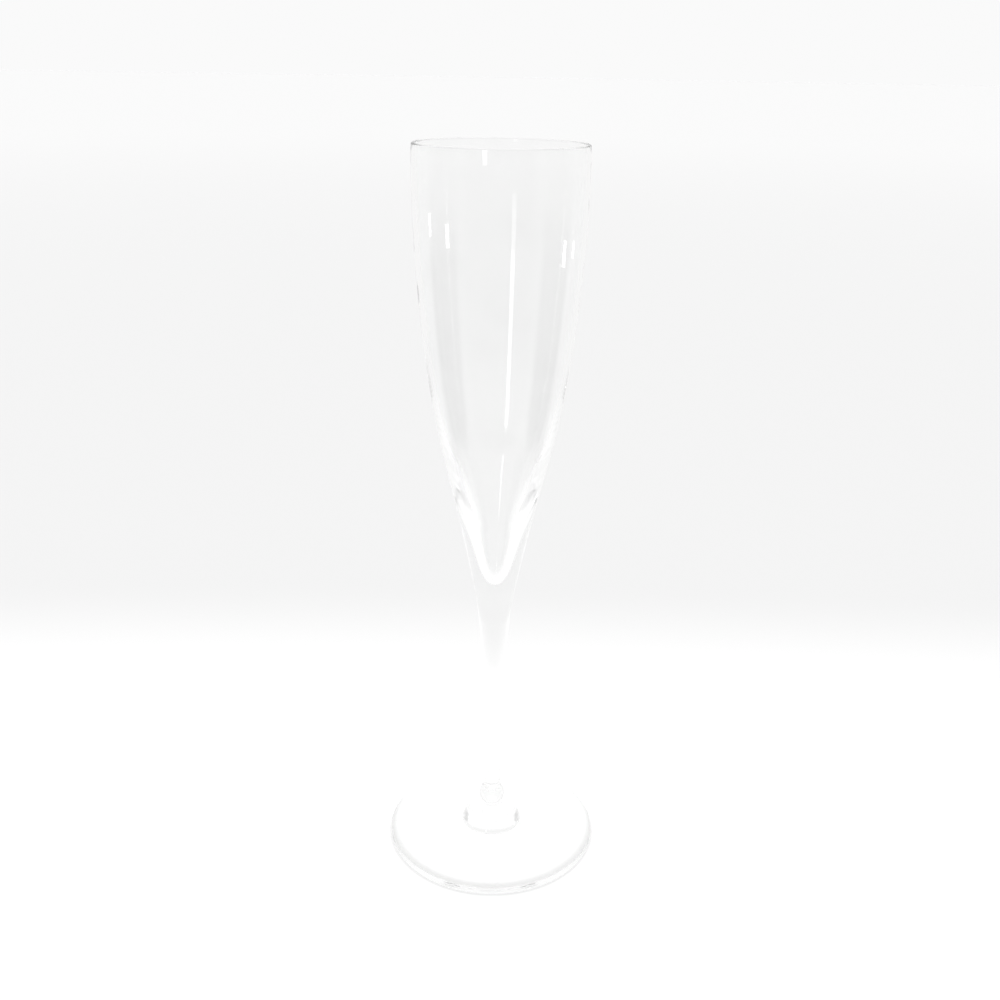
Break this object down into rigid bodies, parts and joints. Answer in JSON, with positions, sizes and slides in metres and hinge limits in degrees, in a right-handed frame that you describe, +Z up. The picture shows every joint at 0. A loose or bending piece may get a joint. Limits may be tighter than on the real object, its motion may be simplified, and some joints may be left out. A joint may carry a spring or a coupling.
{
  "type": "champagne flute",
  "caption": "Tall slender stemmed drinking glass: a deep narrow bowl with a pointed well, a drawn stem, a ball knop, a cushion button and a wide round foot.",
  "frame": {"origin": "centre of the foot's underside, on the surface that the flute stands on", "axes": "+Z up along the stem, which every piece is turned about; X and Y are equal"},
  "size_m": [0.072, 0.072, 0.235],
  "materials": {
    "bowl_crystal": "clear fire-polished crystal",
    "stem_crystal": "clear fire-polished crystal",
    "knop_crystal": "clear fire-polished crystal",
    "button_crystal": "clear fire-polished crystal",
    "foot_crystal": "clear fire-polished crystal"
  },
  "bodies": {
    "root": {"bowl": "bowl_crystal", "stem": "stem_crystal", "knop": "knop_crystal", "foot_button": "button_crystal", "foot": "foot_crystal"}
  },
  "joints": []
}
